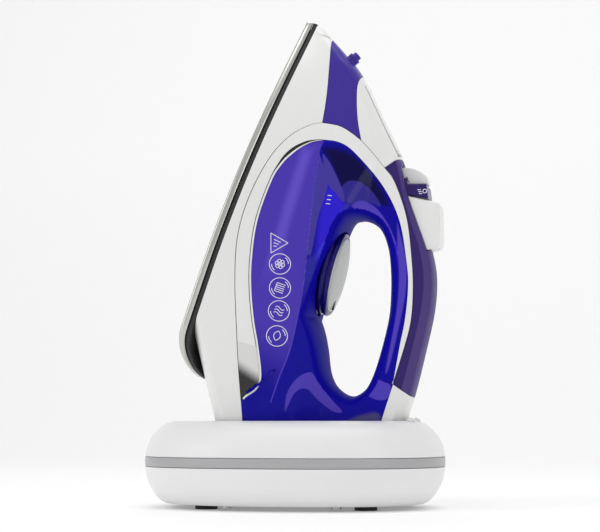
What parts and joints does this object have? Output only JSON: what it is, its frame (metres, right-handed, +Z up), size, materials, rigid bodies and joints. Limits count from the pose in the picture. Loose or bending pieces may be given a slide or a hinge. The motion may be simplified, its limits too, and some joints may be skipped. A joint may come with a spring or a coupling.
{
  "type": "cordless steam iron with charging base",
  "caption": "Cordless steam iron standing nose up in an oval charging base, with clear blue tank, open handle, dial, steam slider, two thumb buttons and a filler flap.",
  "frame": {"origin": "bottom centre of the charging base, on the surface that it stands on", "axes": "+Z up, +X from the soleplate's side to the handle's side, +Y sideways across the iron"},
  "size_m": [0.19, 0.144, 0.312],
  "materials": {
    "white_housing": "moulded white plastic, high gloss",
    "base_white": "moulded white plastic, satin gloss",
    "band_grey": "satin grey trim band",
    "purple_cover": "opaque violet plastic, gloss",
    "grip_purple": "soft violet plastic, fine matt grain",
    "tank_blue": "clear deep blue plastic, polished",
    "black_gloss": "black plastic, gloss",
    "dark_plastic": "dark heat-resistant plastic, matt",
    "dial_blue": "deep blue plastic, polished",
    "dial_silver": "pale silver paint, satin",
    "soleplate_metal": "polished steel with fine brushing",
    "cast_alloy": "rough cast alloy",
    "contact_brass": "bright contact brass",
    "rubber": "dark moulded rubber"
  },
  "bodies": {
    "base": {"base_upper_shell": "base_white", "base_lower_shell": "base_white", "base_band": "band_grey", "base_foot_1": "rubber", "base_foot_2": "rubber", "base_foot_3": "rubber", "base_foot_4": "rubber", "base_screw_1": "soleplate_metal", "base_screw_2": "soleplate_metal", "base_screw_3": "soleplate_metal", "base_screw_4": "soleplate_metal", "dock_connector": "black_gloss", "dock_contact_1": "contact_brass", "dock_contact_2": "contact_brass", "dock_contact_3": "contact_brass", "terminal_block": "dark_plastic", "cord_gland": "dark_plastic"},
    "dial": {"temperature_dial": "dial_blue", "dial_face": "dial_silver", "thermostat_shaft": "soleplate_metal"},
    "flap": {"filler_flap": "white_housing"},
    "steam_control": {"steam_slider": "white_housing"},
    "valve": {"valve_rod": "contact_brass"},
    "spray_key": {"spray_button": "white_housing"},
    "shot_key": {"shot_button": "white_housing"},
    "iron": {"lower_housing": "white_housing", "body_ring": "white_housing", "filler_surround": "white_housing", "filler_neck": "white_housing", "heel_cover": "white_housing", "thermal_fuse": "white_housing", "front_cover": "purple_cover", "spray_nozzle": "purple_cover", "control_pod": "purple_cover", "grip_cover": "grip_purple", "water_tank": "tank_blue", "tank_bezel": "black_gloss", "heel_contact_block": "black_gloss", "sole_skirt": "dark_plastic", "shot_pump": "dark_plastic", "spray_pump": "dark_plastic", "dial_collar": "dial_blue", "soleplate": "soleplate_metal", "heat_shield": "soleplate_metal", "flap_pin": "soleplate_metal", "heating_element": "cast_alloy", "steam_chamber_cover": "cast_alloy", "thermostat": "cast_alloy", "heel_contact_1": "contact_brass", "heel_contact_2": "contact_brass", "heel_contact_3": "contact_brass", "tank_seal": "rubber"}
  },
  "joints": [
    {"name": "lift_off", "type": "slide", "parent": "base", "child": "iron", "axis": [0, 0, 1], "range_m": [0, 0.12]},
    {"name": "dial_turn", "type": "hinge", "parent": "iron", "child": "dial", "pos_m": [0.02155, 0, 0.14827], "axis": [0.969, 0, -0.247], "range_deg": [0, 270]},
    {"name": "flap_hinge", "type": "hinge", "parent": "iron", "child": "flap", "pos_m": [0.06715, 0, 0.22333], "axis": [0, 1, 0], "range_deg": [0, 95]},
    {"name": "steam_slide", "type": "slide", "parent": "iron", "child": "steam_control", "axis": [0, 1, 0], "range_m": [-0.005, 0.005]},
    {"name": "valve_lift", "type": "slide", "parent": "iron", "child": "valve", "axis": [0.9438, 0, -0.3305], "range_m": [-0.0012, 0.0012]},
    {"name": "spray_press", "type": "slide", "parent": "iron", "child": "spray_key", "axis": [-0.9443, 0, -0.329], "range_m": [0, 0.003], "stiffness_N_per_m": 500, "springref_m": -0.002},
    {"name": "shot_press", "type": "slide", "parent": "iron", "child": "shot_key", "axis": [-0.9443, 0, -0.329], "range_m": [0, 0.003], "stiffness_N_per_m": 500, "springref_m": -0.002}
  ],
  "couplings": [
    {"joint": "valve_lift", "follows": "steam_slide", "ratio": 0.24}
  ]
}
